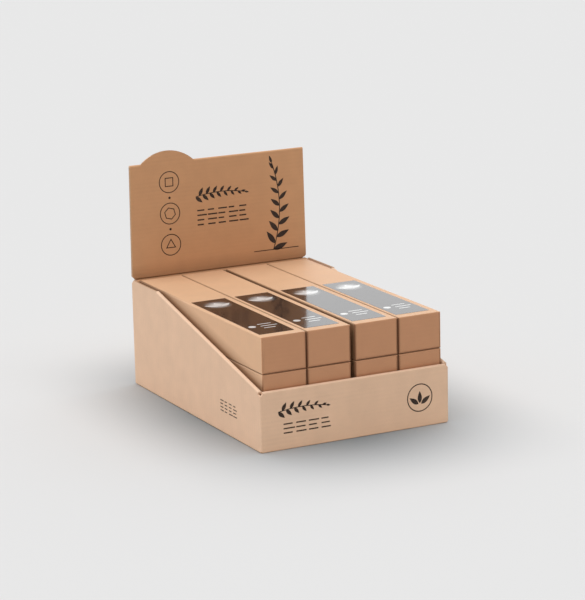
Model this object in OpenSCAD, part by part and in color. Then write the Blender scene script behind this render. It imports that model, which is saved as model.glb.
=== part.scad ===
// Counter display box: a folded corrugated tray with a header panel, loaded with sealed packs.
// Millimetres, +Z up, the front faces -Y, the origin is at the middle of the underside.

/* [Packs] */
// Width of one pack
pack_w = 70.1; // [50:0.1:90]
// Length of one pack, front to back
pack_l = 418; // [300:1:500]
// Height of one pack
pack_h = 54; // [45:0.2:70]
// Radius of the folded edges of a pack
pack_edge = 2; // [0.8:0.1:3]
// Thickness of the card that a pack is folded from
pack_card = 2.2; // [1.6:0.1:3.4]
// Width of the slit round a pack's end flap
slit_w = 0.5; // [0.3:0.1:0.8]
// Depth of the slit round a pack's end flap
slit_d = 0.8; // [0.4:0.1:1.4]

/* [Labels] */
// Width of a label
label_w = 55; // [20:1:64]
// Length of a label
label_l = 226; // [60:1:360]
// Thickness of a label
label_t = 0.2; // [0.1:0.05:0.4]
// Distance from a pack's front edge to its label
label_front = 15.5; // [6:0.5:60]
// Sideways place of a label from the middle of its pack
label_shift = -2.5; // [-3:0.5:3]

/* [Loading] */
// Gap between the two packs of a pair
pair_gap = 0.8; // [0.4:0.1:5]
// Gap between the left pair and the right pair
middle_gap = 6; // [1:0.5:12]
// Clearance between an outer pack and the side wall
side_gap = 2; // [0.3:0.1:4]
// Clearance at each end of a pack
end_gap = 1; // [0.5:0.1:4]

/* [Tray] */
// Thickness of the corrugated board
board = 2.5; // [1.5:0.1:3]
// Thickness of a rolled-over wall
wall = 6; // [6:0.5:12]
// Height of the front wall
front_h = 88; // [60:1:120]
// Length of the side walls' flat top, from the back
flat_l = 92; // [60:1:140]
// Height of the side walls above the stacked packs, below them with a minus
rim = -0.6; // [-2:0.1:10]
// Size of the relief cuts at the corners of the blank
corner_cut = 5; // [3.5:0.5:8]
// How far a glued flap ends below the wall's edge
flap_drop = 3; // [1:0.5:8]
// Length of a locking tab
tab_l = 40; // [20:1:60]
// Clearance round a locking tab and between two folded panels
fold_gap = 0.4; // [0.2:0.1:0.8]

/* [Header] */
// Height of the header above the side walls
header_h = 177.5; // [100:0.5:260]
// Distance from the tray's left face to the header's left edge
header_left = 0.5; // [0:0.5:8]
// Distance from the tray's right face to the header's right edge
header_right = 4.5; // [0:0.5:8]
// How much each side of the header comes in towards its top
header_taper = 2; // [0:0.5:6]
// Depth of the ledge between the header and the packs
ledge_d = 7; // [5:0.5:20]
// Height of the slot between the ledge and the header's front layer
slot_h = 2; // [0.6:0.2:4]
// Width of the round bump along the header's top
bump_w = 88; // [40:1:120]
// Height of the round bump above the header's top
bump_h = 17.5; // [8:0.5:30]
// Distance from the header's left edge to the bump's middle
bump_x = 64; // [64:1:200]

/* [Hidden] */
COLUMNS = 4;
LAYERS = 3;
// Places of the two lock tabs along a side wall's slope
LOCK_SHARES = [0.25, 0.75];
$fn = 48;
KRAFT = [0.78, 0.64, 0.52];
PACK_KRAFT = [0.84, 0.68, 0.54];
LABEL_BROWN = [0.23, 0.17, 0.14];

// Room for the packs
inner_w = COLUMNS * pack_w + 2 * pair_gap + middle_gap + 2 * side_gap;
inner_l = pack_l + 2 * end_gap;
layer_h = pack_h + label_t;
stack_top = board + LAYERS * layer_h;

// Outside of the tray
header_t = 2 * board;
back_t = header_t + ledge_d;
tray_w = inner_w + 2 * wall;
tray_d = wall + inner_l + back_t;
side_h = stack_top + rim;
header_top = side_h + header_h;
x_side = tray_w / 2;
y_front = -tray_d / 2;
y_back = tray_d / 2;
y_inner_front = y_front + wall;
y_inner_back = y_back - back_t;
x_fold = x_side - board;

// Slope of the side walls, from the front wall up to the flat top
y_slope = y_back - flat_l;
slope_run = y_slope - y_front;
slope_rise = side_h - front_h;
slope_a = atan2(slope_rise, slope_run);
roll_leg = 2 * board;
function slope_z(y) = front_h + (y - y_front) * slope_rise / slope_run;
function under_slope(point, depth) = point + depth * [sin(slope_a), -cos(slope_a)];
function below_leg(y) = slope_z(y) - roll_leg / cos(slope_a);
roll_top = [y_slope, side_h];
roll_end = [y_front + corner_cut, slope_z(y_front + corner_cut)];
leg_top = under_slope(roll_top, roll_leg);
leg_end = under_slope(roll_end, roll_leg);
y_inner_side = y_inner_front + fold_gap;

// Header outline
header_x0 = -x_side + header_left;
header_x1 = x_side - header_right;
bump_mid = header_x0 + bump_x;
bump_r = (bump_w * bump_w / 4 + bump_h * bump_h) / (2 * bump_h);
fold_z = header_top - board;

// Packs
pair_x = middle_gap / 2 + pack_w + pair_gap / 2;
pack_y = y_inner_front + end_gap;
function pair_mid(column) = column < COLUMNS / 2 ? -pair_x : pair_x;
function pair_side(column) = column % 2 == 0 ? -1 : 1;
function pack_x(column) = pair_mid(column) + pair_side(column) * (pack_w + pair_gap) / 2;
function pack_z(layer) = board + layer * layer_h;

LAYER_NAMES = ["low", "mid", "top"];

// A flat panel whose outline is drawn in Y and Z, with its thickness along +X
module panel_yz(points) {
    rotate([90, 0, 90])
        linear_extrude(board)
            polygon(points);
}

// A flat panel whose outline is drawn in X and Z, with its thickness along +Y
module panel_xz() {
    translate([0, board, 0])
        rotate([90, 0, 0])
            linear_extrude(board)
                children();
}

// Section of a fold: a quarter round as thick as the board, in the third quadrant
module fold_section() {
    intersection() {
        circle(r = board);
        translate([-board, -board])
            square(board);
    }
}

// Section of a rolled-over edge: outer leg, ledge and inner leg, with its top at the axis
module roll_section() {
    translate([board, -board])
        square([wall - 2 * board, board]);
    translate([board, -board])
        mirror([0, 1])
            fold_section();
    translate([wall - board, -board])
        rotate(180)
            fold_section();
    for (leg = [0, wall - board])
        translate([leg, -roll_leg])
            square([board, roll_leg - board]);
}

// Runs its children for the left wall and mirrored for the right wall
module both_sides() {
    children();
    mirror([1, 0, 0])
        children();
}

// Slots in the base that the inner panels lock into, grown by clear, and their tabs with clear at 0
module base_locks(height, clear) {
    long_run = y_slope - y_inner_front;
    for (side = [-1, 1])
        for (share = LOCK_SHARES)
            translate([side * (x_side - wall + board / 2), y_inner_front + share * long_run, height / 2])
                cube([board + 2 * clear, tab_l + 2 * clear, height], center = true);
    for (side = [-1, 1])
        for (y = [y_inner_front - board / 2, y_inner_back + board / 2])
            translate([side * inner_w / 4, y, height / 2])
                cube([tab_l + 2 * clear, board + 2 * clear, height], center = true);
}

// Base panel with its lock slots
module base_panel() {
    difference() {
        translate([-x_fold, y_front + board, 0])
            cube([2 * x_fold, tray_d - header_t, board]);
        translate([0, 0, -board])
            base_locks(3 * board, fold_gap);
    }
}

// The folds between the base and the four walls, and the four upright corner folds
module tray_folds() {
    both_sides() {
        translate([-x_fold, y_back - board, board])
            rotate([90, 0, 0])
                linear_extrude(tray_d - header_t)
                    fold_section();
        translate([-x_fold, y_front + board, board])
            linear_extrude(front_h - corner_cut - board)
                fold_section();
        translate([-x_fold, y_back - board, board])
            mirror([0, 1, 0])
                linear_extrude(side_h - corner_cut - board)
                    fold_section();
    }
    translate([-x_fold, y_front + board, board])
        rotate([90, 0, 90])
            linear_extrude(2 * x_fold)
                fold_section();
    translate([x_fold, y_back - board, board])
        rotate([90, 0, -90])
            linear_extrude(2 * x_fold)
                fold_section();
}

// Left wall: outer panel, rolled-over slope, inner panel and the glued flap of the back wall
module side_wall() {
    translate([-x_side, 0, 0])
        panel_yz([
            [y_front + board, board],
            [y_back - board, board],
            [y_back - board, side_h - corner_cut],
            [y_back - board - corner_cut, side_h],
            roll_top,
            leg_top,
            leg_end,
            [y_front + board, front_h - corner_cut]]);
    translate([-x_side, roll_top[0], roll_top[1]])
        rotate([90 + slope_a, 0, 0])
            linear_extrude(norm(roll_top - roll_end))
                roll_section();
    translate([-x_side + wall - board, 0, 0])
        panel_yz([
            [y_inner_side, board],
            [leg_top[0], board],
            leg_top,
            [y_inner_side, below_leg(y_inner_side)]]);
    flap_y = leg_top[0] + fold_gap;
    translate([-x_fold, flap_y, board])
        cube([board, y_back - board - flap_y, side_h - flap_drop - board]);
}

// Front wall: outer panel with cut corners, rolled-over top and inner panel
module front_wall() {
    translate([0, y_front, 0])
        panel_xz()
            polygon([
                [-x_fold, board],
                [x_fold, board],
                [x_fold, front_h - corner_cut],
                [x_side - corner_cut, front_h - board],
                [x_side - corner_cut, front_h - roll_leg],
                [-x_side + corner_cut, front_h - roll_leg],
                [-x_side + corner_cut, front_h - board],
                [-x_fold, front_h - corner_cut]]);
    translate([-x_side + corner_cut, y_front, front_h])
        rotate([90, 0, 90])
            linear_extrude(tray_w - 2 * corner_cut)
                roll_section();
    translate([0, y_inner_front - board, 0])
        panel_xz()
            translate([-inner_w / 2 + fold_gap, board])
                square([inner_w - 2 * fold_gap, front_h - roll_leg - board]);
}

// The round bump's outline, cut off below the height bottom
module bump(bottom) {
    intersection() {
        translate([bump_mid, header_top + bump_h - bump_r])
            circle(r = bump_r, $fn = 96);
        translate([bump_mid - bump_w, bottom])
            square([2 * bump_w, board + bump_h]);
    }
}

// Outline of the header between its bottom crease and the fold along its top
module header_outline() {
    polygon([
        [header_x0 + corner_cut, side_h],
        [header_x1 - corner_cut, side_h],
        [header_x1, side_h + corner_cut],
        [header_x1 - header_taper, fold_z],
        [header_x0 + header_taper, fold_z],
        [header_x0, side_h + corner_cut]]);
}

// Back wall and the header's back layer, with the bump's mirror image left open where it was cut
module back_layer() {
    translate([0, y_back - board, 0])
        panel_xz()
            difference() {
                union() {
                    header_outline();
                    polygon([
                        [-x_fold, board],
                        [x_fold, board],
                        [x_fold, side_h - corner_cut],
                        [header_x1 - corner_cut, side_h],
                        [header_x0 + corner_cut, side_h],
                        [-x_fold, side_h - corner_cut]]);
                }
                translate([0, 2 * header_top])
                    mirror([0, 1])
                        bump(header_top);
            }
}

// Header's front layer with the bump, ending above the ledge, and the top fold on both sides of the bump
module front_layer() {
    translate([0, y_back - header_t, 0])
        panel_xz() {
            difference() {
                header_outline();
                translate([-x_side, side_h])
                    square([tray_w, slot_h]);
            }
            bump(fold_z);
        }
    fold_runs = [
        [header_x0 + header_taper, bump_mid - bump_w / 2],
        [bump_mid + bump_w / 2, header_x1 - header_taper]];
    for (run = fold_runs)
        translate([run[0], y_back - board, fold_z])
            rotate([90, 0, 90])
                linear_extrude(run[1] - run[0])
                    intersection() {
                        circle(r = board);
                        translate([-board, 0])
                            square([2 * board, board]);
                    }
}

// Ledge in front of the header, and the inner back panel under it
module back_ledge() {
    half = x_side - 2 * board - fold_gap;
    translate([-half, y_inner_back + board, side_h - board])
        cube([2 * half, back_t - 2 * board, board]);
    translate([-half, y_inner_back + board, side_h - board])
        rotate([90, 0, 90])
            linear_extrude(2 * half)
                mirror([0, 1])
                    fold_section();
    translate([0, y_inner_back, 0])
        panel_xz()
            translate([-half, board])
                square([2 * half, side_h - 2 * board]);
}

// The whole folded blank
module display_tray() {
    color(KRAFT) {
        base_panel();
        base_locks(board, 0);
        tray_folds();
        both_sides()
            side_wall();
        front_wall();
        back_layer();
        front_layer();
        back_ledge();
    }
}

// A rectangle of size w by h with round corners, from the origin
module round_rect(w, h, r) {
    translate([r, 0])
        square([w - 2 * r, h]);
    translate([0, r])
        square([w, h - 2 * r]);
    for (x = [r, w - r])
        for (y = [r, h - r])
            translate([x, y])
                circle(r = r, $fn = 24);
}

// Slit round the end flap, which hinges at the top edge: two sides and the bottom
module flap_slit() {
    difference() {
        translate([pack_card, pack_card])
            square([pack_w - 2 * pack_card, pack_h]);
        translate([pack_card + slit_w, pack_card + slit_w])
            square([pack_w - 2 * (pack_card + slit_w), pack_h]);
    }
}

// One sealed pack with folded edges on all sides and a slit flap at each end
module pack(column, layer) {
    color(PACK_KRAFT)
        translate([pack_x(column) - pack_w / 2, pack_y, pack_z(layer)])
            difference() {
                intersection() {
                    linear_extrude(pack_h)
                        round_rect(pack_w, pack_l, pack_edge);
                    translate([0, pack_l, 0])
                        rotate([90, 0, 0])
                            linear_extrude(pack_l)
                                round_rect(pack_w, pack_h, pack_edge);
                    rotate([90, 0, 90])
                        linear_extrude(pack_w)
                            round_rect(pack_l, pack_h, pack_edge);
                }
                for (y = [slit_d, pack_l + slit_d])
                    translate([0, y, 0])
                        rotate([90, 0, 0])
                            linear_extrude(2 * slit_d)
                                intersection() {
                                    flap_slit();
                                    square([pack_w, pack_h - pack_edge]);
                                }
            }
}

// One film label on the top of its pack
module label(column, layer) {
    color(LABEL_BROWN)
        translate([pack_x(column) + label_shift - label_w / 2, pack_y + label_front, pack_z(layer) + pack_h])
            cube([label_w, label_l, label_t]);
}

display_tray();
for (layer = [0 : LAYERS - 1])
    for (column = [0 : COLUMNS - 1]) {
        place = str(LAYER_NAMES[layer], "_", column + 1);
        pack(column, layer);
        label(column, layer);
    }
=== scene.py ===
"""Dresses a counter display box: a folded corrugated tray, its sealed packs and their film labels."""

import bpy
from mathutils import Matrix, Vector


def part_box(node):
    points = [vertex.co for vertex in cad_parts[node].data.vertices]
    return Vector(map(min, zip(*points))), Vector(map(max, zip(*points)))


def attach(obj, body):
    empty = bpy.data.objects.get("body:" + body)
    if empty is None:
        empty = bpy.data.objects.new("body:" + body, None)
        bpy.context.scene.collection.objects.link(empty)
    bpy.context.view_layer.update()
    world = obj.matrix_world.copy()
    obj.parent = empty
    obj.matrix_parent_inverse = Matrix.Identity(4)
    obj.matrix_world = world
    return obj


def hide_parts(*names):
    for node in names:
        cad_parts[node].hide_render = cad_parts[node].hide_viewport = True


bl_info = {
    "name": "Counter Display Box",
    "version": (1, 0, 0),
    "blender": (4, 5, 0),
    "location": "View3D > Sidebar > Display Box",
    "description": "Builds the board, packs, labels, print and studio stage of a counter display box",
    "category": "Object",
}

import math

import bmesh
import bpy
from bpy.props import FloatProperty, FloatVectorProperty, IntProperty, PointerProperty
from mathutils import Matrix, Vector

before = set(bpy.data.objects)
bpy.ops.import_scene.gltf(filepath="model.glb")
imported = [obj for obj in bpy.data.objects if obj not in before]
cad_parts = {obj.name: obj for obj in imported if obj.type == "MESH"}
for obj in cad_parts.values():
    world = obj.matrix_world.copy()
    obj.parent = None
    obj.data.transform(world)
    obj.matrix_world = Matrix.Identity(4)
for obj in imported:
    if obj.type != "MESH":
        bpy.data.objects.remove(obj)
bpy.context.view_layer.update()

MM = 0.001
BODY = "root"
TRAY = "display_tray"
PACKS = sorted(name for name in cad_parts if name.startswith("pack_"))
LABELS = sorted(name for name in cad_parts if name.startswith("label_"))

# Distances below which points count as one, and shares of a normal that sort the faces
WELD = 0.002 * MM
ON_PLANE = 0.001 * MM
TURNED, FACING, STRAIGHT = 0.15, 0.3, 0.9
FOLD_LOW, FOLD_HIGH = 0.2, 0.98
SHARP = math.radians(35)

# Finish of the papers
BOARD_FINISH = {"mottle": 0.16, "flecks": 0.28, "line_shade": 0.016, "fold_light": 1.16,
                "gloss": 0.25, "roughness": 0.8}
PACK_FINISH = {"mottle": 0.13, "flecks": 0.22, "line_shade": 0.006, "fold_light": 1.16,
               "gloss": 0.5, "roughness": 0.55}
PACK_END_FINISH = {**PACK_FINISH, "fold_light": 1.2, "gloss": 0.3, "roughness": 0.7}
FLECK_TONE = 0.45
# Painted shade: the dark tone that the marked gaps, undersides and the header's foot are mixed towards
PAINTED_SHADE_TONE, PAINTED_SHADE_DEPTH = 0.4, 1.3


# Places on the tray, measured on its solid

def tray_points(keep):
    """The corner points of the tray's solid that pass a test."""
    points = [vertex.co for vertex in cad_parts[TRAY].data.vertices]
    return [point for point in points if keep(point)]


TRAY_LOW, TRAY_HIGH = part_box(TRAY)
NEAR = 3 * MM
FRONT_TOP = max(p.z for p in tray_points(lambda p: p.y < TRAY_LOW.y + NEAR))
SIDE_TOP = max(p.z for p in tray_points(lambda p: p.x < TRAY_LOW.x + NEAR and abs(p.y) < 0.9 * TRAY_HIGH.y))
SLOPE_END = min(p.y for p in tray_points(lambda p: p.x < TRAY_LOW.x + NEAR and p.z > SIDE_TOP - 0.5 * MM))
HEADER_POINTS = tray_points(lambda p: p.z > 1.5 * SIDE_TOP)
HEADER_FRONT = min(p.y for p in HEADER_POINTS)
HEADER_LEFT = min(p.x for p in HEADER_POINTS)
BOARD = (TRAY_HIGH.y - HEADER_FRONT) / 2


# Settings

def color_setting(name, description, default):
    """A colour."""
    return FloatVectorProperty(
        name=name, description=description, subtype="COLOR", size=3, min=0.0, max=1.0, default=default)


def length_setting(name, description, default, low=0.0):
    """A length in metres."""
    return FloatProperty(name=name, description=description, unit="LENGTH", min=low, default=default)


def angle_setting(name, description, degrees):
    """An angle, given in degrees."""
    return FloatProperty(name=name, description=description, subtype="ANGLE", default=math.radians(degrees))


def number_setting(name, description, default):
    """A plain number from zero up."""
    return FloatProperty(name=name, description=description, min=0.0, default=default)


class DisplayBoxBoard(bpy.types.PropertyGroup):
    """Finish of the corrugated board"""

    color: color_setting("Board colour", "Liner of the folded tray", (0.80, 0.543, 0.373))
    # Painted shade: the header's face is the same board as the tray, and this darker, browner copy of its
    # colour stands in for the shade on it
    header_shaded_color: color_setting("Header colour", "Browner liner of the header's face", (0.645, 0.348, 0.180))
    cut_color: color_setting("Cut edge colour", "Raw paper at the cut edges", (0.66, 0.43, 0.27))
    liner: length_setting("Liner", "Thickness of each liner at a cut edge", 0.36 * MM, 0.1 * MM)
    flute_pitch: length_setting("Flute pitch", "Distance from one flute to the next", 6.4 * MM, 2 * MM)
    flute_depth: length_setting("Flute depth", "How far the cut flutes can be seen into", 0.9 * MM, 0.1 * MM)
    medium: length_setting("Medium", "Thickness of the wavy paper between the liners", 0.24 * MM, 0.05 * MM)
    fold_wear_and_highlight: number_setting("Fold wear and highlight", "How much paler the folds are", 0.8)
    foot_shade: number_setting("Foot shade", "Darkening towards the fold at the header's foot", 0.28)


class DisplayBoxPacks(bpy.types.PropertyGroup):
    """Finish of the packs"""

    color: color_setting("Pack colour", "Card of the sealed packs", (0.735, 0.44, 0.252))
    # Painted shade: the packs' front ends are the same card as the rest, and this darker copy of its colour
    # stands in for the shade on them
    front_end_shaded_color: color_setting("End flap colour", "Card of the packs' end flaps", (0.55, 0.275, 0.146))
    fold_wear_and_highlight: number_setting("Fold wear and highlight", "How much paler the folds at the front are", 0.5)
    # Painted shade on the outer packs' sides just above the sloping wall
    side_shade: number_setting("Side shade", "Darkening right above the sloping wall", 0.95)


class DisplayBoxLabels(bpy.types.PropertyGroup):
    """Sizes and finish of the film labels"""

    color: color_setting("Film colour", "Dark printed film", (0.010, 0.009, 0.011))
    corner: length_setting("Corner", "Radius of a label's corners", 0.8 * MM, 0.2 * MM)
    print_color: color_setting("Print colour", "Pale print on the film", (0.80, 0.79, 0.76))


class DisplayBoxPrint(bpy.types.PropertyGroup):
    """Ink and motifs of the print on the board"""

    color: color_setting("Ink colour", "Dark brown printing ink", (0.030, 0.018, 0.013))
    film: length_setting("Ink film", "How far the ink stands on the paper", 0.06 * MM, 0.01 * MM)
    leaves: IntProperty(name="Leaves", description="Leaves on the header's sprig", min=3, max=40, default=15)


class DisplayBoxStage(bpy.types.PropertyGroup):
    """Camera and studio light"""

    azimuth: angle_setting("Azimuth", "Turn of the camera round the box", -26.863)
    elevation: angle_setting("Elevation", "Camera's angle above the floor", 13.386)
    roll: angle_setting("Roll", "Turn of the camera round its own axis", -1.276)
    distance: length_setting("Distance", "From the camera to its target", 3.714)
    target: FloatVectorProperty(
        name="Target", description="Point that the camera looks at", subtype="TRANSLATION",
        size=3, default=(0.01136, -0.00396, 0.15671))
    lens: number_setting("Lens", "Focal length in millimetres", 150.0)
    floor_color: color_setting("Floor colour", "Pale studio floor", (0.78, 0.78, 0.78))
    sky: number_setting("Sky", "Strength of the even light from all sides", 0.4)
    glow: number_setting("Glow", "Brightness of the studio in glossy reflections", 1.5)
    key: number_setting("Key", "Strength of the soft key light", 2.2)
    key_color: color_setting("Key colour", "Slightly cool daylight", (0.90, 0.94, 1.0))
    fill: number_setting("Fill", "Strength of the light that the floor sends back to the front", 0.25)
    fill_color: color_setting("Fill colour", "Warm light from the floor", (1.0, 0.92, 0.79))
    top: number_setting("Top", "Strength of the overhead light on the floor", 2.13)
    # Painted shadow on the floor round the box, which the camera alone sees
    contact_shadow: number_setting("Contact", "Darkening of the floor under and beside the box", 1.15)
    contact_shadow_color: color_setting("Contact colour", "Floor's tone where it is darkest", (0.02, 0.085, 0.13))
    contact_shadow_reach: FloatVectorProperty(
        name="Contact reach", description="Softness of that darkening across and along the box",
        unit="LENGTH", size=2, default=(0.18, 0.25))


class DisplayBoxSettings(bpy.types.PropertyGroup):
    """All settings of the display box"""

    board: PointerProperty(type=DisplayBoxBoard)
    packs: PointerProperty(type=DisplayBoxPacks)
    labels: PointerProperty(type=DisplayBoxLabels)
    ink: PointerProperty(type=DisplayBoxPrint)
    stage: PointerProperty(type=DisplayBoxStage)


# Node helpers

def feed(tree, node, inputs):
    """Links or sets the inputs of a node, by name or number."""
    for key, value in inputs.items():
        if isinstance(value, bpy.types.NodeSocket):
            tree.links.new(value, node.inputs[key])
        else:
            node.inputs[key].default_value = value


def add_node(tree, kind, inputs=None, **settings):
    """Adds a node, sets its properties and feeds its inputs."""
    made = tree.nodes.new(kind)
    for key, value in settings.items():
        setattr(made, key, value)
    feed(tree, made, inputs or {})
    return made


def node_out(tree, kind, inputs=None, **settings):
    """The first output of a new node."""
    return add_node(tree, kind, inputs, **settings).outputs[0]


def geo(tree, kind, inputs=None, **settings):
    """The first output of a new geometry node, by the end of its name."""
    return node_out(tree, "GeometryNode" + kind, inputs, **settings)


def calc(tree, operation, a, b=0.0, c=0.0):
    """The output of one math node."""
    return node_out(tree, "ShaderNodeMath", {0: a, 1: b, 2: c}, operation=operation)


def vector_calc(tree, operation, a, b=(0.0, 0.0, 0.0)):
    """The vector output of one vector math node."""
    return node_out(tree, "ShaderNodeVectorMath", {0: a, 1: b}, operation=operation)


def combine(tree, x=0.0, y=0.0, z=0.0):
    """A vector from its parts."""
    return node_out(tree, "ShaderNodeCombineXYZ", {"X": x, "Y": y, "Z": z})


def remap(tree, value, low, high, to_low=0.0, to_high=1.0, **settings):
    """A value moved from one range to another, with its ends clamped."""
    ends = {"From Min": low, "From Max": high, "To Min": to_low, "To Max": to_high}
    return node_out(tree, "ShaderNodeMapRange", {"Value": value, **ends}, **settings)


def rgba(color):
    """A colour with full alpha."""
    return (*color, 1.0)


def mix_color(tree, factor, a, b, blend="MIX"):
    """The colour output of one mix node."""
    made = add_node(tree, "ShaderNodeMix", {0: factor, 6: a, 7: b}, data_type="RGBA", blend_type=blend)
    return made.outputs[2]


def tinted(tree, color, shade):
    """A colour made lighter or darker by a shade."""
    return mix_color(tree, 1.0, rgba(color), shade, "MULTIPLY")


def object_place(tree):
    """The place on the object, in its own coordinates."""
    return add_node(tree, "ShaderNodeTexCoord").outputs["Object"]


def noise(tree, place, scale, detail=2.0):
    """The value of a noise texture, with one scale for all axes or one for each."""
    if isinstance(scale, tuple):
        place = vector_calc(tree, "MULTIPLY", place, scale)
        scale = 1.0
    return node_out(tree, "ShaderNodeTexNoise", {"Vector": place, "Scale": scale, "Detail": detail})


def face_value(tree, name):
    """The value of a mesh attribute."""
    return add_node(tree, "ShaderNodeAttribute", attribute_name=name).outputs["Fac"]


def bump(tree, height, strength, distance):
    """The normal of a bumpy surface."""
    return node_out(tree, "ShaderNodeBump", {"Height": height, "Strength": strength, "Distance": distance})


def new_group(name, kind, inputs, outputs):
    """An empty node group with named sockets, the sockets of its input node and its output node."""
    tree = bpy.data.node_groups.new(name, kind)
    for way, sockets in (("INPUT", inputs), ("OUTPUT", outputs)):
        for label, socket in sockets.items():
            tree.interface.new_socket(label, in_out=way, socket_type="NodeSocket" + socket)
    return tree, tree.nodes.new("NodeGroupInput").outputs, tree.nodes.new("NodeGroupOutput")


def geometry_group(name, **inputs):
    """An empty geometry tree with the given inputs, a material and one geometry as its result."""
    return new_group(name, "GeometryNodeTree", {**inputs, "Material": "Material"}, {"Geometry": "Geometry"})


def finish_tree(tree, given, result, geometry):
    """Ends a geometry tree with a plain mesh in the given material."""
    real = geo(tree, "RealizeInstances", {"Geometry": geometry})
    dressed = geo(tree, "SetMaterial", {"Geometry": real, "Material": given["Material"]})
    feed(tree, result, {"Geometry": dressed})
    return tree


# Shared surface effects

def kraft_group():
    """Mottle, fibres and flecks of unbleached paper."""
    tree, given, result = new_group(
        "kraft_fibre", "ShaderNodeTree", {"Mottle": "Float", "Flecks": "Float"},
        {"Shade": "Float", "Fleck": "Float", "Height": "Float"})
    place = object_place(tree)
    patch = calc(tree, "SUBTRACT", noise(tree, place, 38.0, 4.0), 0.5)
    upright = noise(tree, place, (420.0, 420.0, 1500.0), 5.0)
    across = noise(tree, place, (1500.0, 420.0, 420.0), 5.0)
    weave = calc(tree, "MULTIPLY_ADD", calc(tree, "ADD", upright, across), 0.5, -0.5)
    speck = add_node(tree, "ShaderNodeTexVoronoi", {"Vector": place, "Scale": 640.0, "Randomness": 1.0})
    dark = remap(tree, speck.outputs["Distance"], 0.05, 0.16, 1.0, 0.0)
    chance = node_out(tree, "ShaderNodeSeparateColor", {"Color": speck.outputs["Color"]})
    flecks = calc(tree, "MULTIPLY", dark, calc(tree, "GREATER_THAN", chance, 0.8))
    feed(tree, result, {
        "Shade": calc(tree, "MULTIPLY_ADD", calc(tree, "ADD", patch, weave), given["Mottle"], 1.0),
        "Fleck": calc(tree, "MULTIPLY", flecks, given["Flecks"]),
        "Height": calc(tree, "ADD", weave, calc(tree, "MULTIPLY", patch, 0.3))})


def washboard_group(pitch):
    """Faint lines where flutes show through: level on upright front and back panels, along X elsewhere."""
    tree, _, result = new_group("flute_washboard", "ShaderNodeTree", {}, {"Line": "Float"})
    coords = add_node(tree, "ShaderNodeTexCoord").outputs
    split = add_node(tree, "ShaderNodeSeparateXYZ", {"Vector": coords["Object"]}).outputs
    facing = add_node(tree, "ShaderNodeSeparateXYZ", {"Vector": coords["Normal"]}).outputs
    upright = calc(tree, "GREATER_THAN", calc(tree, "ABSOLUTE", facing["Y"]), 0.7)
    level = calc(tree, "MULTIPLY", upright, split["Z"])
    deep = calc(tree, "MULTIPLY", calc(tree, "SUBTRACT", 1.0, upright), split["Y"])
    turns = calc(tree, "DIVIDE", calc(tree, "ADD", level, deep), pitch)
    wave = calc(tree, "SINE", calc(tree, "MULTIPLY", turns, 2 * math.pi))
    strength = remap(tree, noise(tree, coords["Object"], (9.0, 40.0, 60.0)), 0.35, 0.7, 0.1, 1.0)
    feed(tree, result, {"Line": calc(tree, "MULTIPLY", wave, strength)})


# Materials

def new_material(name):
    """A new material's tree and its Principled shader."""
    made = bpy.data.materials.new(name)
    made.use_nodes = True
    return made.node_tree, made.node_tree.nodes["Principled BSDF"]


def place_group(tree, name, **values):
    """The outputs of a group node with its own values."""
    made = tree.nodes.new("ShaderNodeGroup")
    made.node_tree = bpy.data.node_groups[name]
    feed(tree, made, values)
    return made.outputs


def paper_material(name, color, mottle, flecks, line_shade, fold_light, gloss, roughness):
    """Unbleached paper over flutes: mottled, flecked and lined, paler along its marked folds (partly wear,
    partly a painted highlight), and darkened by painted shade where it is marked for it.
    """
    tree, shader = new_material(name)
    fibre = place_group(tree, "kraft_fibre", Mottle=mottle, Flecks=flecks)
    line = place_group(tree, "flute_washboard")["Line"]
    tone = tinted(tree, color, calc(tree, "MULTIPLY_ADD", line, line_shade, fibre["Shade"]))
    flecked = mix_color(tree, fibre["Fleck"], tone, rgba([FLECK_TONE * part for part in color]))
    # Paler folds: partly wear, partly a painted highlight, as only folds that face up are marked
    paler = rgba([min(1.0, fold_light * part) for part in color])
    uneven = remap(tree, fibre["Height"], -0.2, 0.2, 0.4, 1.0)
    worn_and_highlit = mix_color(tree, calc(tree, "MULTIPLY", face_value(tree, "fold"), uneven), flecked, paler)
    # Painted shade: the stronger of the two painted shade marks
    painted_shade = calc(tree, "MAXIMUM", face_value(tree, "painted_shade"), face_value(tree, "painted_side_shade"))
    painted_shade_color = rgba([PAINTED_SHADE_TONE * part ** PAINTED_SHADE_DEPTH for part in color])
    height = calc(tree, "MULTIPLY_ADD", line, 0.6, fibre["Height"])
    feed(tree, shader, {
        "Base Color": mix_color(tree, painted_shade, worn_and_highlit, painted_shade_color),
        "Roughness": remap(tree, fibre["Height"], -0.3, 0.3, roughness - 0.07, roughness + 0.07),
        "Specular IOR Level": gloss, "Normal": bump(tree, height, 0.5, 0.12 * MM)})


def cut_material(name, color):
    """Raw cut paper: rough, a little darker and fuzzier than the liner."""
    tree, shader = new_material(name)
    fibre = place_group(tree, "kraft_fibre", Mottle=0.35, Flecks=0.5)
    feed(tree, shader, {
        "Base Color": tinted(tree, color, fibre["Shade"]), "Roughness": 0.92, "Specular IOR Level": 0.15,
        "Normal": bump(tree, fibre["Height"], 0.6, 0.2 * MM)})


def ink_material(name, color, paper):
    """Matt ink that lets a little of the paper's grain through."""
    tree, shader = new_material(name)
    fibre = place_group(tree, "kraft_fibre", Mottle=0.25, Flecks=0.0)
    thin = remap(tree, fibre["Height"], 0.02, 0.24, 0.0, 0.35)
    feed(tree, shader, {
        "Base Color": mix_color(tree, thin, rgba(color), rgba([0.5 * part for part in paper])),
        "Roughness": remap(tree, fibre["Height"], -0.3, 0.3, 0.55, 0.75), "Specular IOR Level": 0.2,
        "Normal": bump(tree, fibre["Height"], 0.4, 0.1 * MM)})


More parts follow.
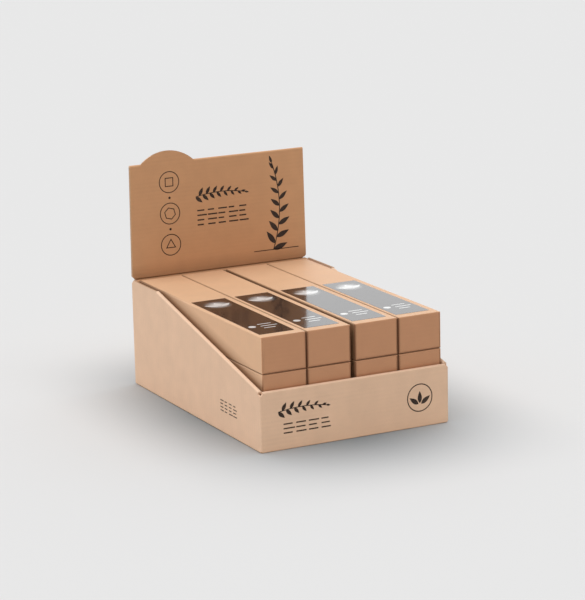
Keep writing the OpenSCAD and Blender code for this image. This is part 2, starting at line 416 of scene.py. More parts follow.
def cloudy(tree, color, scale, low, high):
    """A colour with soft clouds between a darker and a lighter shade."""
    cloud = noise(tree, object_place(tree), scale, 3.0)
    return tinted(tree, color, remap(tree, cloud, 0.3, 0.7, low, high))


def film_finish(tree, shader, tone):
    """Glossy film of a given tone, with the slight waviness of a hand-laid label."""
    place = object_place(tree)
    feed(tree, shader, {
        "Base Color": tone, "Roughness": remap(tree, noise(tree, place, 90.0, 5.0), 0.3, 0.7, 0.07, 0.15),
        "IOR": 1.55, "Normal": bump(tree, noise(tree, place, 26.0), 0.2, 0.3 * MM)})


def film_material(name, color, halo_color, halo_at, halo_reach):
    """Dark glossy film with a soft pale halo behind its motif."""
    tree, shader = new_material(name)
    spread = add_node(tree, "ShaderNodeAttribute", attribute_name="film_uv").outputs["Vector"]
    away = vector_calc(tree, "SUBTRACT", spread, (*halo_at, 0.0))
    reach = vector_calc(tree, "DIVIDE", away, (*halo_reach, 1.0))
    distance = add_node(tree, "ShaderNodeVectorMath", {0: reach}, operation="LENGTH").outputs["Value"]
    halo = calc(tree, "POWER", remap(tree, distance, 0.2, 1.0, 1.0, 0.0), 1.5)
    film_finish(tree, shader, mix_color(tree, halo, cloudy(tree, color, 30.0, 0.85, 1.15), rgba(halo_color)))


def film_print_material(name, color):
    """Pale print under the same gloss as the film."""
    tree, shader = new_material(name)
    film_finish(tree, shader, cloudy(tree, color, 300.0, 0.92, 1.04))


# Mesh helpers

def finish_piece(piece, replaced=()):
    """Hangs a finished piece on the body and hides the solids that it stands for."""
    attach(piece, BODY)
    if replaced:
        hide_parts(*replaced)


def link_mesh(name, mesh, *materials):
    """A linked object with a mesh and its materials, given by their names."""
    for entry in materials:
        mesh.materials.append(bpy.data.materials[entry])
    piece = bpy.data.objects.new(name, mesh)
    bpy.context.scene.collection.objects.link(piece)
    return piece


def bake_modifiers(piece):
    """Turns a piece's modifiers into its own mesh."""
    graph = bpy.context.evaluated_depsgraph_get()
    made = bpy.data.meshes.new_from_object(piece.evaluated_get(graph), depsgraph=graph)
    old = piece.data
    piece.modifiers.clear()
    piece.data = made
    bpy.data.meshes.remove(old)


def run_tree(piece, tree, **values):
    """Puts a geometry tree on a piece, sets its inputs by their identifiers and keeps the plain result."""
    values["Material"] = piece.data.materials[0]
    modifier = piece.modifiers.new(tree.name, "NODES")
    modifier.node_group = tree
    for entry in tree.interface.items_tree:
        if entry.in_out == "INPUT" and entry.name in values:
            modifier[entry.identifier] = values[entry.name]
    bake_modifiers(piece)


def merged_copy(node_name):
    """A solid's mesh as a closed bmesh, with its flat triangles joined into panels."""
    shell = bmesh.new()
    shell.from_mesh(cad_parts[node_name].data)
    bmesh.ops.remove_doubles(shell, verts=shell.verts, dist=WELD)
    bmesh.ops.dissolve_limit(
        shell, angle_limit=math.radians(0.3), verts=shell.verts, edges=shell.edges, delimit={"NORMAL"})
    shell.normal_update()
    return shell


def smooth_piece(name, shell, *materials):
    """A linked piece from a bmesh: smooth, with sharp folds, and flat panels kept flat."""
    mesh = bpy.data.meshes.new(name)
    shell.to_mesh(mesh)
    shell.free()
    piece = link_mesh(name, mesh, *materials)
    for polygon in mesh.polygons:
        polygon.use_smooth = True
    mesh.set_sharp_from_angle(angle=SHARP)
    weighted = piece.modifiers.new("panel_normals", "WEIGHTED_NORMAL")
    weighted.keep_sharp = True
    weighted.weight = 100
    bake_modifiers(piece)
    return piece


def cut_faces(shell, keep, place, normal):
    """Cuts the faces that pass a test along a plane."""
    faces = [face for face in shell.faces if keep(face)]
    parts = set(faces)
    for face in faces:
        parts.update(face.edges)
        parts.update(face.verts)
    bmesh.ops.bisect_plane(shell, geom=list(parts), dist=ON_PLANE, plane_co=place, plane_no=normal)


def face_spans(face):
    """Length and width of a flat face, and the direction of its length."""
    longest = max(face.edges, key=lambda edge: edge.calc_length())
    run = (longest.verts[1].co - longest.verts[0].co).normalized()
    spans = []
    for direction in (run, face.normal.cross(run)):
        places = [vertex.co.dot(direction) for vertex in face.verts]
        spans.append(max(places) - min(places))
    return spans[0], spans[1], run


# Wear of the paper, painted highlights and painted shade

def mark_folds(shell, widest, strength):
    """Marks the narrow faces of rounded folds that face up, for the paper's paler creases: partly wear,
    partly a painted highlight.
    """
    fold = shell.faces.layers.float.new("fold")
    for face in shell.faces:
        narrow = min(face_spans(face)[:2]) < widest and face.material_index == 0
        face[fold] = strength if narrow and FOLD_LOW < face.normal.z < FOLD_HIGH else 0.0


def shade_side_by_slope(shell, outward, strength):
    """Paints soft shade on a pack's outer side, darkest right above the sloping wall, where the wall shades
    it.
    """
    run = Vector((0, SLOPE_END - TRAY_LOW.y, SIDE_TOP - FRONT_TOP)).normalized()
    above = Vector((0, -run.z, run.y))
    start = Vector((0, TRAY_LOW.y, FRONT_TOP))
    darkest, half, unshaded = 2 * MM, 8 * MM, 20 * MM

    def on_side(face):
        return face.normal.x * outward > TURNED

    for lift in (darkest, half, unshaded):
        cut_faces(shell, on_side, start + above * lift, above)
    painted_side_shade = shell.verts.layers.float.new("painted_side_shade")
    shell.normal_update()
    front = min(vertex.co.y for vertex in shell.verts) + 0.05 * MM
    for vertex in shell.verts:
        if vertex.co.y > front and any(on_side(face) for face in vertex.link_faces):
            share = ((vertex.co - start).dot(above) - darkest) / (unshaded - darkest)
            vertex[painted_side_shade] = strength * (1.0 - max(0.0, min(1.0, share))) ** 1.8


def mark_pack_wear_and_shade(shell, left_gap, right_gap, packs):
    """Marks a pack's pale front folds (partly wear, partly a painted highlight), painted shade on its gap
    sides, underside and back end, and its front end for a darker copy of its colour as painted shade; an
    outer pack also gets painted shade above the sloping wall.
    """
    for outward, gap in ((-1, left_gap), (1, right_gap)):
        if not gap:
            shade_side_by_slope(shell, outward, packs.side_shade)
    shell.normal_update()
    fold = shell.faces.layers.float.new("fold")
    painted_shade = shell.faces.layers.float.new("painted_shade")
    # Painted shade: full on faces that face down, on gap sides less where they face up, on the back end less
    # where it faces up
    top_light, back_painted_shade = 0.45, 0.6
    for face in shell.faces:
        n = face.normal
        in_gap = left_gap if n.x < 0 else right_gap
        # Paler front folds that face up: partly wear, partly a painted highlight
        if FOLD_LOW < n.z < FOLD_HIGH and n.y < -FACING:
            face[fold] = packs.fold_wear_and_highlight
        if n.z < -0.1:
            face[painted_shade] = 1.0
        elif abs(n.x) > TURNED and in_gap and n.z < FOLD_HIGH:
            face[painted_shade] = 1.0 - top_light * n.z
        elif n.y > TURNED:
            face[painted_shade] = back_painted_shade * (1.0 - n.z)
        # Painted shade: the front end takes the darker copy of the pack's colour
        if n.y < -0.5:
            face.material_index = 1


def shade_header(shell, strength):
    """Gives the header's face and the ledge at its foot a darker, browner copy of the board's colour as
    painted shade, with more painted shade towards the fold at the header's foot.
    """
    foot, panel = SIDE_TOP + 24 * MM, SIDE_TOP + 40 * MM
    fold_reach = 12 * MM
    cut_faces(
        shell, lambda face: face.normal.y < -STRAIGHT and face.calc_center_median().z > panel,
        (0, 0, foot), (0, 0, 1))
    painted_shade = shell.verts.layers.float.new("painted_shade")
    for face in shell.faces:
        middle = face.calc_center_median()
        near = middle.y > HEADER_FRONT - fold_reach and face.material_index == 0
        front = face.normal.y < -FACING
        ledge = face.normal.z > FACING and abs(middle.x) < 0.95 * TRAY_HIGH.x
        at_foot = abs(middle.z - SIDE_TOP) < fold_reach
        if near and (at_foot and (ledge or front) or front and middle.z > SIDE_TOP):
            face.material_index = 2
            for vertex in face.verts:
                # Painted shade, growing towards the fold at the header's foot
                vertex[painted_shade] = strength if vertex.co.z < foot - 1 * MM else 0.0


# Cut edges of the board

def split_header_layers(shell):
    """Cuts the header's doubled side edges into one edge for each layer."""
    cut_faces(
        shell, lambda face: abs(face.normal.x) > STRAIGHT and face.calc_center_median().z > SIDE_TOP,
        (0, TRAY_HIGH.y - BOARD, 0), (0, 1, 0))


def cut_strips(shell):
    """The cut edges of the board, each a list of faces in a row; short scraps are left out."""
    slack, shortest, along = 0.06 * BOARD, 5 * BOARD, 0.3
    rims = [face for face in shell.faces if len(face.verts) == 3 and face.calc_center_median().z > SIDE_TOP]
    bmesh.ops.join_triangles(
        shell, faces=rims, angle_face_threshold=math.radians(5), angle_shape_threshold=math.pi)
    raw = set()
    for face in shell.faces:
        length, width = face_spans(face)[:2]
        above = face.calc_center_median().z > 2 * BOARD
        if above and 4 <= len(face.verts) <= 6 and abs(width - BOARD) < slack and length > BOARD:
            raw.add(face)
    strips = []
    while raw:
        strip = [raw.pop()]
        for face in strip:
            run = face_spans(face)[2]
            for edge in face.edges:
                side = (edge.verts[1].co - edge.verts[0].co).normalized()
                if abs(side.dot(run)) > along:
                    continue
                for other in edge.link_faces:
                    if other in raw and other.normal.dot(face.normal) > STRAIGHT:
                        raw.remove(other)
                        strip.append(other)
        if sum(face_spans(face)[0] for face in strip) > shortest:
            strips.append(strip)
    return strips


def strip_path(strip, margin):
    """Points along the middle of a cut edge, each with its direction across the board and into it."""
    run = face_spans(strip[0])[2]
    across = strip[0].normal.cross(run).normalized()
    if len(strip) > 1:
        ordered = sorted(strip, key=lambda face: face.calc_center_median().x)
        return [(face.calc_center_median(), across, -face.normal) for face in ordered]
    face = strip[0]
    places = [vertex.co.dot(run) for vertex in face.verts]
    sides = [vertex.co.dot(across) for vertex in face.verts]
    middle = face.calc_center_median()
    middle = middle - run * middle.dot(run)
    middle += across * ((min(sides) + max(sides)) / 2 - middle.dot(across))
    ends = (min(places) + margin, max(places) - margin)
    return [(middle + run * end, across, -face.normal) for end in ends]


def sink_strips(shell, strips, liner, depth):
    """Sinks the middle of each cut edge between its two liners, and gives it the cut paper's material."""
    wall = 0.01 * MM
    for strip in strips:
        cut = list(strip)
        for inset, drop in ((liner, 0.0), (wall, depth)):
            rim = bmesh.ops.inset_region(
                shell, faces=strip, use_boundary=True, use_even_offset=True, thickness=inset, depth=-drop)
            cut += rim["faces"]
        for face in cut:
            face.material_index = 1


def flute_paths(paths):
    """A mesh of lines along the cut edges, with the wave's phase and directions on its points."""
    mesh = bpy.data.meshes.new("cut_flutes")
    points, edges, phase, across, inward = [], [], [], [], []
    for path in paths:
        first = len(points)
        for place, side, into in path:
            level = abs(side.y) > 0.7
            points.append(place)
            phase.append(place.z if level else place.y)
            across.extend(side)
            inward.extend(into)
        edges.extend((first + step, first + step + 1) for step in range(len(path) - 1))
    mesh.from_pydata(points, edges, [])
    mesh.attributes.new("phase", "FLOAT", "POINT").data.foreach_set("value", phase)
    for name, directions in (("across", across), ("inward", inward)):
        mesh.attributes.new(name, "FLOAT_VECTOR", "POINT").data.foreach_set("vector", directions)
    return mesh


def flute_tree():
    """Geometry nodes that turn the paths along the cut edges into strips of wavy paper."""
    tree, given, result = geometry_group(
        "cut_flutes", Geometry="Geometry", Pitch="Float", Swing="Float", Depth="Float")

    def stored(name, kind):
        return geo(tree, "InputNamedAttribute", {"Name": name}, data_type=kind)

    curve = geo(tree, "MeshToCurve", {"Mesh": given["Geometry"]})
    step = calc(tree, "DIVIDE", given["Pitch"], 10.0)
    fine = geo(tree, "ResampleCurve", {"Curve": curve, "Length": step}, mode="LENGTH")
    turns = calc(tree, "DIVIDE", stored("phase", "FLOAT"), given["Pitch"])
    wave = calc(tree, "SINE", calc(tree, "MULTIPLY", turns, 2 * math.pi))
    swing = calc(tree, "MULTIPLY", wave, given["Swing"])
    across, inward = (stored(name, "FLOAT_VECTOR") for name in ("across", "inward"))
    offset = node_out(tree, "ShaderNodeVectorMath", {0: across, "Scale": swing}, operation="SCALE")
    waved = geo(tree, "SetPosition", {"Geometry": fine, "Offset": offset})
    line = geo(tree, "CurveToMesh", {"Curve": waved})
    strip = geo(
        tree, "ExtrudeMesh", {"Mesh": line, "Offset": inward, "Offset Scale": given["Depth"]},
        mode="EDGES")
    return finish_tree(tree, given, result, strip)


def thicken(piece, thickness):
    """Gives a sheet of paper its thickness."""
    solid = piece.modifiers.new("paper", "SOLIDIFY")
    solid.thickness = thickness
    solid.offset = 0.0
    bake_modifiers(piece)


# Flat print shapes, as lists of outlines in millimetres

def arc(middle, radius, start, end, steps):
    """Points along an arc, from a start angle to an end angle in degrees."""
    turns = [math.radians(start + (end - start) * step / steps) for step in range(steps + 1)]
    return [(middle[0] + radius * math.cos(turn), middle[1] + radius * math.sin(turn)) for turn in turns]


def disc(u, v, radius):
    """A filled circle."""
    return [arc((u, v), radius, 0, 360, 40)[:-1]]


def bar(u, v, width, height):
    """A bar with round ends, from its left end."""
    round_end = height / 2
    right = arc((u + width - round_end, v + round_end), round_end, -90, 90, 8)
    left = arc((u + round_end, v + round_end), round_end, 90, 270, 8)
    return [right + left]


def band(one, other):
    """The band between two rows of points, as quads."""
    return [[a, b, d, c] for a, b, c, d in zip(one, one[1:], other, other[1:])]


def stroke(points, width):
    """A line of even width through points."""
    left, right = [], []
    for step, point in enumerate(points):
        before = Vector(points[max(step - 1, 0)])
        after = Vector(points[min(step + 1, len(points) - 1)])
        run = (after - before).normalized()
        normal = Vector((-run.y, run.x)) * width / 2
        left.append(tuple(Vector(point) + normal))
        right.append(tuple(Vector(point) - normal))
    return band(left, right)


def ring(u, v, outer, inner, corners=48, start=0):
    """A round or regular outline drawn as a line between two radii."""
    return band(*(arc((u, v), radius, start, start + 360, corners) for radius in (outer, inner)))


def leaf(u, v, length, width, angle):
    """A filled leaf from its stalk end, between two arcs."""
    turn = math.radians(angle)
    steps = 14
    shares = [step / steps for step in range(steps + 1)]
    edge = [(length * share, width / 2 * math.sin(math.pi * share ** 0.8)) for share in shares]
    outline = edge + [(x, -y) for x, y in reversed(edge[1:-1])]
    return [[(u + x * math.cos(turn) - y * math.sin(turn), v + x * math.sin(turn) + y * math.cos(turn))
             for x, y in outline]]


def trefoil(u, v, length, width):
    """Three leaves that fan out from a point without touching."""
    gap = 0.42 * width
    shapes = []
    for angle in (36, 90, 144):
        turn = math.radians(angle)
        shapes += leaf(u + gap * math.cos(turn), v + gap * math.sin(turn), length, width, angle)
    return shapes


def flat_mesh(name, outlines):
    """A flat mesh of outlines in millimetres, in the XY plane, in metres."""
    shell = bmesh.new()
    for outline in outlines:
        shell.faces.new([shell.verts.new((u * MM, v * MM, 0.0)) for u, v in outline])
    bmesh.ops.remove_doubles(shell, verts=shell.verts, dist=WELD)
    bmesh.ops.recalc_face_normals(shell, faces=shell.faces)
    for face in shell.faces:
        if face.normal.z < 0:
            face.normal_flip()
    mesh = bpy.data.meshes.new(name)
    shell.to_mesh(mesh)
    shell.free()
    return mesh


def raise_ink(mesh, place, film, sunk):
    """Gives flat print its ink film and lays it on a panel, a little sunk into the paper."""
    shell = bmesh.new()
    shell.from_mesh(mesh)
    base = shell.faces[:]
    bmesh.ops.translate(shell, verts=shell.verts, vec=(0, 0, -sunk))
    raised = bmesh.ops.extrude_face_region(shell, geom=base, use_keep_orig=True)["geom"]
    lifted = [part for part in raised if isinstance(part, bmesh.types.BMVert)]
    bmesh.ops.translate(shell, verts=lifted, vec=(0, 0, film + sunk))
    bmesh.ops.reverse_faces(shell, faces=base)
    bmesh.ops.transform(shell, matrix=place, verts=shell.verts)
    shell.to_mesh(mesh)
    shell.free()
    mesh.update()


def label_motif(width, length):
    """Pale print of a label: three leaves near its back end, a disc and short bars near its front."""
    shapes = trefoil(0.5 * width, 0.80 * length, 0.095 * length, 0.16 * width)
    shapes += disc(0.2 * width, 0.2 * length, 0.1 * width)
    for row, share in enumerate((0.40, 0.48, 0.34)):
        shapes += bar(0.42 * width, (0.235 - 0.05 * row) * length, share * width, 0.05 * width)
    return shapes


def header_motif():
    """Print on the header without its sprigs: a column of marks with their dots, and a ground line."""
    shapes = stroke([(206, 20), (284, 20)], 1.3)
    column, top, spacing, line = 64, 146, 49, 1.4
    for row, corners in enumerate((4, 6, 3)):
        v = top - spacing * row
        shapes += ring(column, v, 17, 17 - line)
        inner = 10 - line / math.cos(math.pi / corners)
        shapes += ring(column, v, 10, inner, corners, 90 if corners == 3 else 45)
        if row < 2:
            shapes += disc(column, v - spacing / 2, 2)
    return shapes


def badge_motif():
    """Print on the front wall: a round badge with three leaves."""
    return ring(0, 0, 21, 21 - 1.6) + trefoil(0, -11, 18, 7)


# Geometry trees of the print and the labels

def text_tree():
    """Geometry nodes for blind text: rows of short bars of uneven length, like words."""
    tree, given, result = geometry_group(
        "blind_text", Rows="Int", Words="Int", Spacing="Float", Height="Float", Word="Float", Seed="Int")

    def span(step, count):
        return calc(tree, "MULTIPLY", given[step], calc(tree, "SUBTRACT", given[count], 1.0))

    def grid(across, along, columns, rows):
        return geo(
            tree, "MeshGrid",
            {"Size X": across, "Size Y": along, "Vertices X": columns, "Vertices Y": rows})

    rows = grid(span("Word", "Words"), span("Spacing", "Rows"), given["Words"], given["Rows"])
    unit = grid(1.0, 1.0, 2, 2)
    from_left = geo(tree, "Transform", {"Geometry": unit, "Translation": (0.5, 0.5, 0.0)})
    shortest = calc(tree, "MULTIPLY", given["Word"], 0.5)
    longest = calc(tree, "MULTIPLY", given["Word"], 0.9)
    length = add_node(
        tree, "FunctionNodeRandomValue", {2: shortest, 3: longest, "Seed": given["Seed"]},
        data_type="FLOAT").outputs[1]
    size = combine(tree, length, given["Height"], 1.0)
    bars = geo(tree, "InstanceOnPoints", {"Points": rows, "Instance": from_left, "Scale": size})
    return finish_tree(tree, given, result, bars)


def sprig_tree():
    """Geometry nodes for a sprig: leaves in turn on both sides of a bent stem, smaller towards its tip."""
    tree, given, result = geometry_group(
        "leaf_sprig", Leaf="Geometry", Height="Float", Bend="Float", Leaves="Int", Spread="Float")
    tip = combine(tree, y=given["Height"])
    belly = combine(tree, given["Bend"], calc(tree, "MULTIPLY", given["Height"], 0.5))
    stem = geo(
        tree, "CurveQuadraticBezier",
        {"Resolution": 48, "Start": (0.0, 0.0, 0.0), "Middle": belly, "End": tip})
    knots = add_node(
        tree, "GeometryNodeCurveToPoints", {"Curve": stem, "Count": given["Leaves"]}, mode="COUNT").outputs
    index = geo(tree, "InputIndex")
    share = calc(tree, "DIVIDE", index, calc(tree, "SUBTRACT", given["Leaves"], 1.0))
    side = calc(tree, "MULTIPLY_ADD", calc(tree, "MODULO", index, 2.0), 2.0, -1.0)
    closing = calc(tree, "SUBTRACT", 1.0, calc(tree, "POWER", share, 6.0))
    angle = calc(tree, "MULTIPLY", side, calc(tree, "MULTIPLY", given["Spread"], closing))
    tangent = node_out(tree, "FunctionNodeAlignEulerToVector", {"Vector": knots["Tangent"]}, axis="X")
    lean = combine(tree, z=angle)
    turn = node_out(
        tree, "FunctionNodeRotateEuler", {"Rotation": tangent, "Rotate By": lean}, space="LOCAL")
    leaves = geo(
        tree, "InstanceOnPoints",
        {"Points": knots["Points"], "Instance": given["Leaf"], "Rotation": turn,
         "Scale": calc(tree, "MULTIPLY_ADD", share, -0.5, 1.0)})
    return finish_tree(tree, given, result, leaves)


def label_tree():
    """Geometry nodes that lay a film label with round corners on each of the given points."""
    tree, given, result = geometry_group(
        "film_labels", Points="Geometry", Width="Float", Length="Float", Film="Float", Corner="Float")
    outline = geo(
        tree, "CurvePrimitiveQuadrilateral",
        {"Width": given["Width"], "Height": given["Length"]}, mode="RECTANGLE")
    rounded = geo(
        tree, "FilletCurve",
        {"Curve": outline, "Radius": given["Corner"], "Count": 4}, mode="POLY")
    sheet = geo(tree, "FillCurve", {"Curve": rounded}, mode="NGONS")
    place = geo(tree, "InputPosition")
    size = combine(tree, given["Width"], given["Length"], 1.0)
    spread = vector_calc(tree, "ADD", vector_calc(tree, "DIVIDE", place, size), (0.5, 0.5, 0.0))
    mapped = geo(
        tree, "StoreNamedAttribute", {"Geometry": sheet, "Name": "film_uv", "Value": spread},
        data_type="FLOAT_VECTOR", domain="POINT")
    top = geo(
        tree, "ExtrudeMesh",
        {"Mesh": mapped, "Offset": (0.0, 0.0, 1.0), "Offset Scale": given["Film"], "Individual": False},
        mode="FACES")
    both = add_node(tree, "GeometryNodeJoinGeometry", {0: top})
    feed(tree, both, {0: geo(tree, "FlipFaces", {"Mesh": mapped})})
    closed = geo(tree, "MergeByDistance", {"Geometry": both.outputs["Geometry"], "Distance": ON_PLANE})
    labels = geo(tree, "InstanceOnPoints", {"Points": given["Points"], "Instance": closed})
    return finish_tree(tree, given, result, labels)


# Operators

class DISPLAYBOX_OT_materials(bpy.types.Operator):
    """Makes the paper, ink and film materials"""

    bl_idname = "displaybox.materials"
    bl_label = "Make Materials"

    def execute(self, context):
        settings = context.scene.display_box
        board, packs, labels = settings.board, settings.packs, settings.labels
        kraft_group()
        washboard_group(board.flute_pitch)
        paper_material("board_kraft", board.color, **BOARD_FINISH)
        paper_material("header_shaded_kraft", board.header_shaded_color, **BOARD_FINISH)
        cut_material("board_cut_edge", board.cut_color)
        paper_material("pack_kraft", packs.color, **PACK_FINISH)
        paper_material("pack_front_shaded_kraft", packs.front_end_shaded_color, **PACK_END_FINISH)
        ink_material("brown_ink", settings.ink.color, board.color)
        film_material("dark_film", labels.color, labels.print_color, halo_at=(0.5, 0.85),
                      halo_reach=(0.42, 0.105))
        film_print_material("pale_film_print", labels.print_color)
        return {"FINISHED"}


class DISPLAYBOX_OT_tray(bpy.types.Operator):
    """Dresses the folded tray, with open flutes at its cut edges"""

    bl_idname = "displaybox.tray"
    bl_label = "Dress Tray"

    def execute(self, context):
        board = context.scene.display_box.board
        shell = merged_copy(TRAY)
        split_header_layers(shell)
        strips = cut_strips(shell)
        paths = [strip_path(strip, board.liner + board.medium) for strip in strips]
        sink_strips(shell, strips, board.liner, board.flute_depth)
        mark_folds(shell, 0.5 * BOARD, board.fold_wear_and_highlight)
        shade_header(shell, board.foot_shade)
        tray = smooth_piece("tray_board", shell, "board_kraft", "board_cut_edge", "header_shaded_kraft")
        finish_piece(tray, [TRAY])

        flutes = link_mesh("tray_cut_flutes", flute_paths(paths), "board_cut_edge")
        swing = (BOARD - 2 * board.liner - board.medium) / 2
        run_tree(flutes, flute_tree(), Pitch=board.flute_pitch, Swing=swing, Depth=board.flute_depth)
        thicken(flutes, board.medium)
        finish_piece(flutes)
        return {"FINISHED"}


class DISPLAYBOX_OT_packs(bpy.types.Operator):
    """Dresses the sealed packs"""

    bl_idname = "displaybox.packs"
    bl_label = "Dress Packs"

    def execute(self, context):
        packs = context.scene.display_box.packs
        wall = 20 * MM
        for name in PACKS:
            shell = merged_copy(name)
            low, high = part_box(name)
            mark_pack_wear_and_shade(shell, low.x > TRAY_LOW.x + wall, high.x < TRAY_HIGH.x - wall, packs)
            carton = smooth_piece(name + "_carton", shell, "pack_kraft", "pack_front_shaded_kraft")
            finish_piece(carton, [name])
        return {"FINISHED"}


class DISPLAYBOX_OT_labels(bpy.types.Operator):
    """Lays the printed film labels on the packs"""

    bl_idname = "displaybox.labels"
    bl_label = "Lay Labels"

    def execute(self, context):
        labels = context.scene.display_box.labels
        boxes = [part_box(name) for name in LABELS]
        low, high = boxes[0]
        size = high - low
        spots = bpy.data.meshes.new("film_labels")
        spots.from_pydata([((a.x + b.x) / 2, (a.y + b.y) / 2, a.z) for a, b in boxes], [], [])
        films = link_mesh("film_labels", spots, "dark_film")
        run_tree(films, label_tree(), Width=size.x, Length=size.y, Film=size.z, Corner=labels.corner)
        finish_piece(films, LABELS)

        motif = flat_mesh("film_label_print", label_motif(size.x / MM, size.y / MM))
        film, sunk = 0.02 * MM, 0.01 * MM
        whole = bmesh.new()
        for a, b in boxes:
            copy = motif.copy()
            raise_ink(copy, Matrix.Translation((a.x, a.y, b.z)), film, sunk)
            whole.from_mesh(copy)
            bpy.data.meshes.remove(copy)
        whole.to_mesh(motif)
        whole.free()
        finish_piece(link_mesh("film_label_print", motif, "pale_film_print"))
        return {"FINISHED"}


def print_mesh(mesh, place, tree=None, **values):
    """One printed piece: flat print, run through a geometry tree if one is given, laid on its panel."""
    film = bpy.context.scene.display_box.ink.film
    piece = link_mesh(mesh.name, mesh, "brown_ink")
    if tree:
        run_tree(piece, tree, **values)
    raise_ink(piece.data, place, film, film)
    finish_piece(piece)


def sprig(name, place, length, bend, leaves, leaf_size, stem_width):
    """A leafy sprig with its stem on a panel, in millimetres."""
    print_mesh(
        flat_mesh(name, leaf(0, 0, *leaf_size, 0)), place, bpy.data.node_groups["leaf_sprig"],
        Height=length * MM, Bend=bend * MM, Leaves=leaves, Spread=math.radians(52))
    steps = 30
    shares = [step / steps for step in range(steps + 1)]
    stem = [(bend * 2 * share * (1 - share), length * share) for share in shares]
    print_mesh(flat_mesh(name + "_stem", stroke(stem, stem_width)), place)


def lines(name, place, rows, words, spacing, height, word, seed):
    """Lines of blind text on a panel, in millimetres."""
    print_mesh(
        bpy.data.meshes.new(name), place, bpy.data.node_groups["blind_text"], Rows=rows, Words=words,
        Spacing=spacing * MM, Height=height * MM, Word=word * MM, Seed=seed)


class DISPLAYBOX_OT_print(bpy.types.Operator):
    """Prints the plain motifs on the header, the front wall and the left wall"""

    bl_idname = "displaybox.board_print"
    bl_label = "Print Board"

    def execute(self, context):
        leaves = context.scene.display_box.ink.leaves
        text_tree()
        sprig_tree()
        right, up, to_front = Vector((1, 0, 0)), Vector((0, 0, 1)), Vector((0, -1, 0))
        header = Vector((HEADER_LEFT, HEADER_FRONT, SIDE_TOP))
        front = Vector((TRAY_LOW.x, TRAY_LOW.y, 0))
        left = Vector((TRAY_LOW.x, TRAY_HIGH.y, 0))
        lying = Matrix.Rotation(math.radians(-90), 4, "Z")

        def on_panel(corner, u, v, along=right):
            """The placing of flat print on a panel, from the panel's low left corner in millimetres."""
            axes = Matrix((along, up, along.cross(up))).transposed().to_4x4()
            return Matrix.Translation(corner + along * u * MM + up * v * MM) @ axes

        print_mesh(flat_mesh("header_marks", header_motif()), on_panel(header, 0, 0))
        sprig("header_sprig", on_panel(header, 240, 20), length=138, bend=24, leaves=leaves,
              leaf_size=(26, 9), stem_width=1.5)
        sprig("header_garland", on_panel(header, 108, 118) @ lying, length=84, bend=-9, leaves=15,
              leaf_size=(15, 6), stem_width=1.3)
        lines("header_lines", on_panel(header, 146, 84), rows=4, words=5, spacing=7.5, height=2.2,
              word=18, seed=8)
        print_mesh(flat_mesh("front_badge", badge_motif()), on_panel(front, 256, 44))
        sprig("front_garland", on_panel(front, 28, 56) @ lying, length=76, bend=-7, leaves=13,
              leaf_size=(14, 6), stem_width=1.3)
        lines("front_lines", on_panel(front, 66, 30), rows=3, words=4, spacing=6.5, height=1.9,
              word=20, seed=5)
        lines("side_lines", on_panel(left, 330, 40, to_front), rows=4, words=4, spacing=5, height=1.5,
              word=14, seed=6)
        return {"FINISHED"}


def make_floor(stage):
    """A wide pale floor that takes the box's shadow, with a soft painted shadow round the box's footprint
    that the camera alone sees.
    """
    reach = 60.0
    mesh = bpy.data.meshes.new("studio_floor")
    corners = [(-reach, -reach, 0), (reach, -reach, 0), (reach, reach, 0), (-reach, reach, 0)]
    mesh.from_pydata(corners, [], [(0, 1, 2, 3)])
    tree, shader = new_material("studio_floor")
    split = add_node(tree, "ShaderNodeSeparateXYZ", {"Vector": object_place(tree)}).outputs
    soft_x, soft_y = stage.contact_shadow_reach
    wider, longer = 8 * MM, 24 * MM
    # Painted shadow round the box's footprint, for camera rays alone
    seen = add_node(tree, "ShaderNodeLightPath").outputs["Is Camera Ray"]
    shade = calc(tree, "MULTIPLY", seen, stage.contact_shadow)
    for axis, edge, soft in (("X", TRAY_LOW.x, soft_x), ("X", TRAY_HIGH.x + wider, -soft_x),
                             ("Y", TRAY_LOW.y - longer, soft_y), ("Y", TRAY_HIGH.y, -soft_y)):
        step = remap(tree, split[axis], edge - soft, edge + soft, interpolation_type="SMOOTHSTEP")
        shade = calc(tree, "MULTIPLY", shade, step)
    feed(tree, shader, {
        "Base Color": mix_color(tree, shade, rgba(stage.floor_color), rgba(stage.contact_shadow_color)),
        "Roughness": 0.9, "Specular IOR Level": 0.0})
    floor = link_mesh("studio_floor", mesh, "studio_floor")
    floor.location.z = -0.2 * MM
    return floor


def make_sky(scene, stage):
    """Even light, seen as white by the camera and as a bright studio in reflections."""
    world = bpy.data.worlds.new("studio_sky")
    scene.world = world
    world.use_nodes = True
    tree = world.node_tree
    ray = add_node(tree, "ShaderNodeLightPath").outputs
    seen = calc(tree, "MAXIMUM", ray["Is Camera Ray"], ray["Is Transmission Ray"])
    plain = calc(tree, "MULTIPLY_ADD", seen, 1.0 - stage.sky, stage.sky)
    gloss = calc(tree, "MULTIPLY", ray["Is Glossy Ray"], stage.glow - stage.sky)
    feed(tree, tree.nodes["Background"], {
        "Color": (1.0, 1.0, 1.0, 1.0), "Strength": calc(tree, "ADD", plain, gloss)})


def make_sun(name, strength, color, spread, toward, floor, state):
    """A soft lamp far away, which lights the floor alone or all but the floor."""
    lamp = bpy.data.lights.new(name, "SUN")
    lamp.energy = strength
    lamp.color = color
    lamp.angle = math.radians(spread)
    sun = bpy.data.objects.new(name, lamp)
    bpy.context.scene.collection.objects.link(sun)
    sun.rotation_euler = Vector(toward).to_track_quat("Z", "Y").to_euler()
    group = bpy.data.collections.new(name + "_floor")
    group.objects.link(floor)
    sun.light_linking.receiver_collection = group
    if toward[2] < 0:
        sun.light_linking.blocker_collection = group
    group.collection_objects[0].light_linking.link_state = state


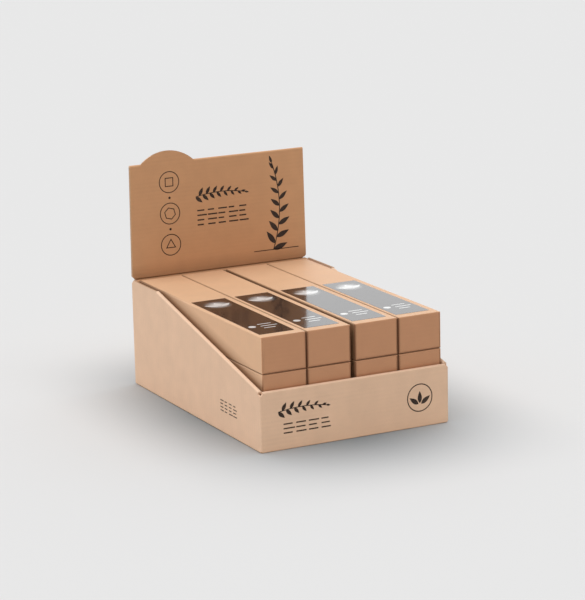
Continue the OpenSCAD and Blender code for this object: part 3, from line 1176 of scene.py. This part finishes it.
def make_camera(scene, stage):
    """The camera, from its angles and its target."""
    data = bpy.data.cameras.new("photo_camera")
    data.lens = stage.lens
    data.sensor_width = 36.0
    data.clip_end = 300.0
    camera = bpy.data.objects.new("photo_camera", data)
    round_box = Matrix.Rotation(stage.azimuth, 4, "Z")
    tilt = Matrix.Rotation(math.pi / 2 - stage.elevation, 4, "X")
    roll = Matrix.Rotation(stage.roll, 4, "Z")
    back = Matrix.Translation((0, 0, stage.distance))
    camera.matrix_world = Matrix.Translation(stage.target) @ round_box @ tilt @ roll @ back
    scene.collection.objects.link(camera)
    scene.camera = camera


class DISPLAYBOX_OT_stage(bpy.types.Operator):
    """Sets the pale floor, the soft studio light and the camera"""

    bl_idname = "displaybox.stage"
    bl_label = "Set Stage"

    def execute(self, context):
        scene = context.scene
        stage = scene.display_box.stage
        floor = make_floor(stage)
        make_sky(scene, stage)
        make_sun("soft_key", stage.key, stage.key_color, spread=50, toward=(-0.37, 0.0, 0.929),
                 floor=floor, state="EXCLUDE")
        make_sun("floor_bounce", stage.fill, stage.fill_color, spread=80, toward=(0.12, -0.9, -0.42),
                 floor=floor, state="EXCLUDE")
        make_sun("floor_top", stage.top, (1.0, 1.0, 1.0), spread=120, toward=(0.2, 0.28, 0.94),
                 floor=floor, state="INCLUDE")
        make_camera(scene, stage)
        scene.view_settings.view_transform = "Standard"
        return {"FINISHED"}


class DISPLAYBOX_PT_panel(bpy.types.Panel):
    """Lists the steps and settings of the display box"""

    bl_label = "Display Box"
    bl_idname = "DISPLAYBOX_PT_panel"
    bl_space_type = "VIEW_3D"
    bl_region_type = "UI"
    bl_category = "Display Box"

    def draw(self, context):
        settings = context.scene.display_box
        for operator in OPERATORS:
            self.layout.operator(operator.bl_idname)
        for part in (settings.board, settings.packs, settings.labels, settings.ink, settings.stage):
            box = self.layout.box()
            for key in part.__annotations__:
                box.prop(part, key)


SETTINGS = (DisplayBoxBoard, DisplayBoxPacks, DisplayBoxLabels, DisplayBoxPrint, DisplayBoxStage,
            DisplayBoxSettings)
OPERATORS = (DISPLAYBOX_OT_materials, DISPLAYBOX_OT_tray, DISPLAYBOX_OT_packs, DISPLAYBOX_OT_labels,
             DISPLAYBOX_OT_print, DISPLAYBOX_OT_stage)
CLASSES = (*SETTINGS, *OPERATORS, DISPLAYBOX_PT_panel)


def register():
    for entry in CLASSES:
        bpy.utils.register_class(entry)
    bpy.types.Scene.display_box = PointerProperty(type=DisplayBoxSettings)


def unregister():
    del bpy.types.Scene.display_box
    for entry in reversed(CLASSES):
        bpy.utils.unregister_class(entry)


def main():
    """Builds the whole scene in order."""
    register()
    bpy.ops.displaybox.materials()
    bpy.ops.displaybox.tray()
    bpy.ops.displaybox.packs()
    bpy.ops.displaybox.labels()
    bpy.ops.displaybox.board_print()
    bpy.ops.displaybox.stage()


if __name__ == "__main__":
    main()
